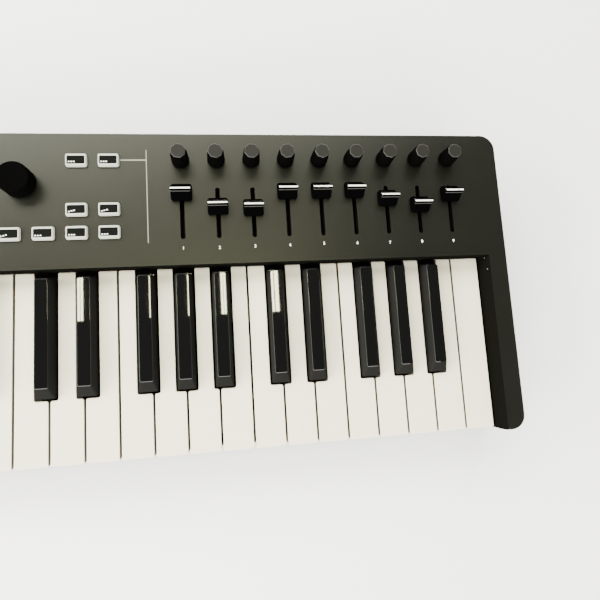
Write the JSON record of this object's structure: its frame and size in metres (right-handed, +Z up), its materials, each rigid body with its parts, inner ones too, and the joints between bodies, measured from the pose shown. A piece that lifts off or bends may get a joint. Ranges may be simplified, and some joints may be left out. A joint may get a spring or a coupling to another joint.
{
  "type": "midi keyboard",
  "caption": "Keyboard controller with sprung piano keys, a control panel of faceted knobs, sliding faders, buttons, pads and wheels, and sockets at the rear.",
  "frame": {"origin": "under the middle of the case, on the surface that the feet stand on", "axes": "+X towards the high notes, +Y towards the rear, +Z up"},
  "size_m": [0.7172, 0.2356, 0.077],
  "materials": {
    "case_top": "satin, fine moulded grain",
    "case_bottom": "matt, moulded",
    "frame": "matt",
    "steel": "bright drawn",
    "felt": "woven felt",
    "board": "solder-masked laminate",
    "component": "moulded",
    "socket": "moulded",
    "display": "clear gloss window",
    "foot": "matt",
    "screw": "zinc plated",
    "wheel": "soft touch",
    "knob": "satin, soft touch",
    "fader": "satin",
    "button": "milky, satin",
    "pad": "silicone, matt",
    "white_key": "semi-gloss",
    "black_key": "gloss"
  },
  "bodies": {
    "case": {"top_case": "case_top", "bottom_case": "case_bottom", "keybed_frame": "frame", "key_pivot_rod": "steel", "key_cushions": "felt", "key_springs": "steel", "circuit_boards": "board", "control_pots": "component", "rear_sockets": "socket", "display_module": "display", "rubber_feet": "foot", "case_screws": "screw", "wheel_bracket": "frame"},
    "white_key_g4": {"white_key_g4": "white_key"},
    "white_key_a4": {"white_key_a4": "white_key"},
    "white_key_b4": {"white_key_b4": "white_key"},
    "white_key_c5": {"white_key_c5": "white_key"},
    "white_key_d5": {"white_key_d5": "white_key"},
    "white_key_e5": {"white_key_e5": "white_key"},
    "white_key_f5": {"white_key_f5": "white_key"},
    "white_key_g5": {"white_key_g5": "white_key"},
    "white_key_a5": {"white_key_a5": "white_key"},
    "white_key_b5": {"white_key_b5": "white_key"},
    "white_key_c6": {"white_key_c6": "white_key"},
    "black_key_f_sharp4": {"black_key_f_sharp4": "black_key"},
    "black_key_g_sharp4": {"black_key_g_sharp4": "black_key"},
    "black_key_a_sharp4": {"black_key_a_sharp4": "black_key"},
    "black_key_c_sharp5": {"black_key_c_sharp5": "black_key"},
    "black_key_d_sharp5": {"black_key_d_sharp5": "black_key"},
    "black_key_f_sharp5": {"black_key_f_sharp5": "black_key"},
    "black_key_g_sharp5": {"black_key_g_sharp5": "black_key"},
    "black_key_a_sharp5": {"black_key_a_sharp5": "black_key"},
    "low_white_keys": {"low_white_keys": "white_key"},
    "low_black_keys": {"low_black_keys": "black_key"},
    "fader_cap_1": {"fader_cap_1": "fader"},
    "fader_cap_2": {"fader_cap_2": "fader"},
    "fader_cap_3": {"fader_cap_3": "fader"},
    "fader_cap_4": {"fader_cap_4": "fader"},
    "fader_cap_5": {"fader_cap_5": "fader"},
    "fader_cap_6": {"fader_cap_6": "fader"},
    "fader_cap_7": {"fader_cap_7": "fader"},
    "fader_cap_8": {"fader_cap_8": "fader"},
    "fader_cap_9": {"fader_cap_9": "fader"},
    "knob_1": {"knob_1": "knob"},
    "knob_2": {"knob_2": "knob"},
    "knob_3": {"knob_3": "knob"},
    "knob_4": {"knob_4": "knob"},
    "knob_5": {"knob_5": "knob"},
    "knob_6": {"knob_6": "knob"},
    "knob_7": {"knob_7": "knob"},
    "knob_8": {"knob_8": "knob"},
    "knob_9": {"knob_9": "knob"},
    "main_encoder": {"main_encoder": "knob"},
    "pitch_wheel": {"pitch_wheel": "wheel"},
    "mod_wheel": {"mod_wheel": "wheel"},
    "button_1": {"button_1": "button"},
    "button_2": {"button_2": "button"},
    "button_3": {"button_3": "button"},
    "other_buttons": {"other_buttons": "button"},
    "pads": {"pads": "pad"}
  },
  "joints": [
    {"name": "white_key_g4_press", "type": "hinge", "parent": "case", "child": "white_key_g4", "pos_m": [0, 0.0374, 0.04], "axis": [1, 0, 0], "range_deg": [0, 3.5], "stiffness_Nm_per_rad": 0.9, "springref_deg": -3.44},
    {"name": "white_key_a4_press", "type": "hinge", "parent": "case", "child": "white_key_a4", "pos_m": [0, 0.0374, 0.04], "axis": [1, 0, 0], "range_deg": [0, 3.5], "stiffness_Nm_per_rad": 0.9, "springref_deg": -3.44},
    {"name": "white_key_b4_press", "type": "hinge", "parent": "case", "child": "white_key_b4", "pos_m": [0, 0.0374, 0.04], "axis": [1, 0, 0], "range_deg": [0, 3.5], "stiffness_Nm_per_rad": 0.9, "springref_deg": -3.44},
    {"name": "white_key_c5_press", "type": "hinge", "parent": "case", "child": "white_key_c5", "pos_m": [0, 0.0374, 0.04], "axis": [1, 0, 0], "range_deg": [0, 3.5], "stiffness_Nm_per_rad": 0.9, "springref_deg": -3.44},
    {"name": "white_key_d5_press", "type": "hinge", "parent": "case", "child": "white_key_d5", "pos_m": [0, 0.0374, 0.04], "axis": [1, 0, 0], "range_deg": [0, 3.5], "stiffness_Nm_per_rad": 0.9, "springref_deg": -3.44},
    {"name": "white_key_e5_press", "type": "hinge", "parent": "case", "child": "white_key_e5", "pos_m": [0, 0.0374, 0.04], "axis": [1, 0, 0], "range_deg": [0, 3.5], "stiffness_Nm_per_rad": 0.9, "springref_deg": -3.44},
    {"name": "white_key_f5_press", "type": "hinge", "parent": "case", "child": "white_key_f5", "pos_m": [0, 0.0374, 0.04], "axis": [1, 0, 0], "range_deg": [0, 3.5], "stiffness_Nm_per_rad": 0.9, "springref_deg": -3.44},
    {"name": "white_key_g5_press", "type": "hinge", "parent": "case", "child": "white_key_g5", "pos_m": [0, 0.0374, 0.04], "axis": [1, 0, 0], "range_deg": [0, 3.5], "stiffness_Nm_per_rad": 0.9, "springref_deg": -3.44},
    {"name": "white_key_a5_press", "type": "hinge", "parent": "case", "child": "white_key_a5", "pos_m": [0, 0.0374, 0.04], "axis": [1, 0, 0], "range_deg": [0, 3.5], "stiffness_Nm_per_rad": 0.9, "springref_deg": -3.44},
    {"name": "white_key_b5_press", "type": "hinge", "parent": "case", "child": "white_key_b5", "pos_m": [0, 0.0374, 0.04], "axis": [1, 0, 0], "range_deg": [0, 3.5], "stiffness_Nm_per_rad": 0.9, "springref_deg": -3.44},
    {"name": "white_key_c6_press", "type": "hinge", "parent": "case", "child": "white_key_c6", "pos_m": [0, 0.0374, 0.04], "axis": [1, 0, 0], "range_deg": [0, 3.5], "stiffness_Nm_per_rad": 0.9, "springref_deg": -3.44},
    {"name": "black_key_f_sharp4_press", "type": "hinge", "parent": "case", "child": "black_key_f_sharp4", "pos_m": [0, 0.0374, 0.04], "axis": [1, 0, 0], "range_deg": [0, 3.9], "stiffness_Nm_per_rad": 0.8, "springref_deg": -3.44},
    {"name": "black_key_g_sharp4_press", "type": "hinge", "parent": "case", "child": "black_key_g_sharp4", "pos_m": [0, 0.0374, 0.04], "axis": [1, 0, 0], "range_deg": [0, 3.9], "stiffness_Nm_per_rad": 0.8, "springref_deg": -3.44},
    {"name": "black_key_a_sharp4_press", "type": "hinge", "parent": "case", "child": "black_key_a_sharp4", "pos_m": [0, 0.0374, 0.04], "axis": [1, 0, 0], "range_deg": [0, 3.9], "stiffness_Nm_per_rad": 0.8, "springref_deg": -3.44},
    {"name": "black_key_c_sharp5_press", "type": "hinge", "parent": "case", "child": "black_key_c_sharp5", "pos_m": [0, 0.0374, 0.04], "axis": [1, 0, 0], "range_deg": [0, 3.9], "stiffness_Nm_per_rad": 0.8, "springref_deg": -3.44},
    {"name": "black_key_d_sharp5_press", "type": "hinge", "parent": "case", "child": "black_key_d_sharp5", "pos_m": [0, 0.0374, 0.04], "axis": [1, 0, 0], "range_deg": [0, 3.9], "stiffness_Nm_per_rad": 0.8, "springref_deg": -3.44},
    {"name": "black_key_f_sharp5_press", "type": "hinge", "parent": "case", "child": "black_key_f_sharp5", "pos_m": [0, 0.0374, 0.04], "axis": [1, 0, 0], "range_deg": [0, 3.9], "stiffness_Nm_per_rad": 0.8, "springref_deg": -3.44},
    {"name": "black_key_g_sharp5_press", "type": "hinge", "parent": "case", "child": "black_key_g_sharp5", "pos_m": [0, 0.0374, 0.04], "axis": [1, 0, 0], "range_deg": [0, 3.9], "stiffness_Nm_per_rad": 0.8, "springref_deg": -3.44},
    {"name": "black_key_a_sharp5_press", "type": "hinge", "parent": "case", "child": "black_key_a_sharp5", "pos_m": [0, 0.0374, 0.04], "axis": [1, 0, 0], "range_deg": [0, 3.9], "stiffness_Nm_per_rad": 0.8, "springref_deg": -3.44},
    {"name": "low_white_keys_press", "type": "hinge", "parent": "case", "child": "low_white_keys", "pos_m": [0, 0.0374, 0.04], "axis": [1, 0, 0], "range_deg": [0, 3.5], "stiffness_Nm_per_rad": 16.2, "springref_deg": -3.44},
    {"name": "low_black_keys_press", "type": "hinge", "parent": "case", "child": "low_black_keys", "pos_m": [0, 0.0374, 0.04], "axis": [1, 0, 0], "range_deg": [0, 3.9], "stiffness_Nm_per_rad": 9.6, "springref_deg": -3.44},
    {"name": "fader_1_slide", "type": "slide", "parent": "case", "child": "fader_cap_1", "axis": [0, 1, 0], "range_m": [-0.0307, 0.0003]},
    {"name": "fader_2_slide", "type": "slide", "parent": "case", "child": "fader_cap_2", "axis": [0, 1, 0], "range_m": [-0.0198, 0.0112]},
    {"name": "fader_3_slide", "type": "slide", "parent": "case", "child": "fader_cap_3", "axis": [0, 1, 0], "range_m": [-0.0185, 0.0125]},
    {"name": "fader_4_slide", "type": "slide", "parent": "case", "child": "fader_cap_4", "axis": [0, 1, 0], "range_m": [-0.0308, 0.0002]},
    {"name": "fader_5_slide", "type": "slide", "parent": "case", "child": "fader_cap_5", "axis": [0, 1, 0], "range_m": [-0.0309, 0.0001]},
    {"name": "fader_6_slide", "type": "slide", "parent": "case", "child": "fader_cap_6", "axis": [0, 1, 0], "range_m": [-0.031, 0]},
    {"name": "fader_7_slide", "type": "slide", "parent": "case", "child": "fader_cap_7", "axis": [0, 1, 0], "range_m": [-0.0242, 0.0068]},
    {"name": "fader_8_slide", "type": "slide", "parent": "case", "child": "fader_cap_8", "axis": [0, 1, 0], "range_m": [-0.0187, 0.0123]},
    {"name": "fader_9_slide", "type": "slide", "parent": "case", "child": "fader_cap_9", "axis": [0, 1, 0], "range_m": [-0.027, 0.004]},
    {"name": "knob_1_turn", "type": "hinge", "parent": "case", "child": "knob_1", "pos_m": [0.10775, 0.0967, 0.061], "axis": [0, 0, 1], "continuous": true},
    {"name": "knob_2_turn", "type": "hinge", "parent": "case", "child": "knob_2", "pos_m": [0.13365, 0.0967, 0.061], "axis": [0, 0, 1], "continuous": true},
    {"name": "knob_3_turn", "type": "hinge", "parent": "case", "child": "knob_3", "pos_m": [0.15955, 0.0967, 0.061], "axis": [0, 0, 1], "continuous": true},
    {"name": "knob_4_turn", "type": "hinge", "parent": "case", "child": "knob_4", "pos_m": [0.18545, 0.0967, 0.061], "axis": [0, 0, 1], "continuous": true},
    {"name": "knob_5_turn", "type": "hinge", "parent": "case", "child": "knob_5", "pos_m": [0.21135, 0.0967, 0.061], "axis": [0, 0, 1], "continuous": true},
    {"name": "knob_6_turn", "type": "hinge", "parent": "case", "child": "knob_6", "pos_m": [0.23725, 0.0967, 0.061], "axis": [0, 0, 1], "continuous": true},
    {"name": "knob_7_turn", "type": "hinge", "parent": "case", "child": "knob_7", "pos_m": [0.26315, 0.0967, 0.061], "axis": [0, 0, 1], "continuous": true},
    {"name": "knob_8_turn", "type": "hinge", "parent": "case", "child": "knob_8", "pos_m": [0.28905, 0.0967, 0.061], "axis": [0, 0, 1], "continuous": true},
    {"name": "knob_9_turn", "type": "hinge", "parent": "case", "child": "knob_9", "pos_m": [0.31495, 0.0967, 0.061], "axis": [0, 0, 1], "continuous": true},
    {"name": "main_encoder_turn", "type": "hinge", "parent": "case", "child": "main_encoder", "pos_m": [-0.00225, 0.0803, 0.061], "axis": [0, 0, 1], "continuous": true},
    {"name": "pitch_wheel_turn", "type": "hinge", "parent": "case", "child": "pitch_wheel", "pos_m": [-0.33105, 0.066, 0.046], "axis": [1, 0, 0], "range_deg": [-30, 30], "stiffness_Nm_per_rad": 0.06},
    {"name": "mod_wheel_turn", "type": "hinge", "parent": "case", "child": "mod_wheel", "pos_m": [-0.30605, 0.066, 0.046], "axis": [1, 0, 0], "range_deg": [-50, 0]},
    {"name": "button_1_press", "type": "slide", "parent": "case", "child": "button_1", "axis": [0, 0, -1], "range_m": [0, 0.001], "stiffness_N_per_m": 900, "springref_m": -0.001},
    {"name": "button_2_press", "type": "slide", "parent": "case", "child": "button_2", "axis": [0, 0, -1], "range_m": [0, 0.001], "stiffness_N_per_m": 900, "springref_m": -0.001},
    {"name": "button_3_press", "type": "slide", "parent": "case", "child": "button_3", "axis": [0, 0, -1], "range_m": [0, 0.001], "stiffness_N_per_m": 900, "springref_m": -0.001},
    {"name": "other_buttons_press", "type": "slide", "parent": "case", "child": "other_buttons", "axis": [0, 0, -1], "range_m": [0, 0.001], "stiffness_N_per_m": 9000, "springref_m": -0.001},
    {"name": "pads_press", "type": "slide", "parent": "case", "child": "pads", "axis": [0, 0, -1], "range_m": [0, 0.0006], "stiffness_N_per_m": 20000, "springref_m": -0.0006}
  ]
}
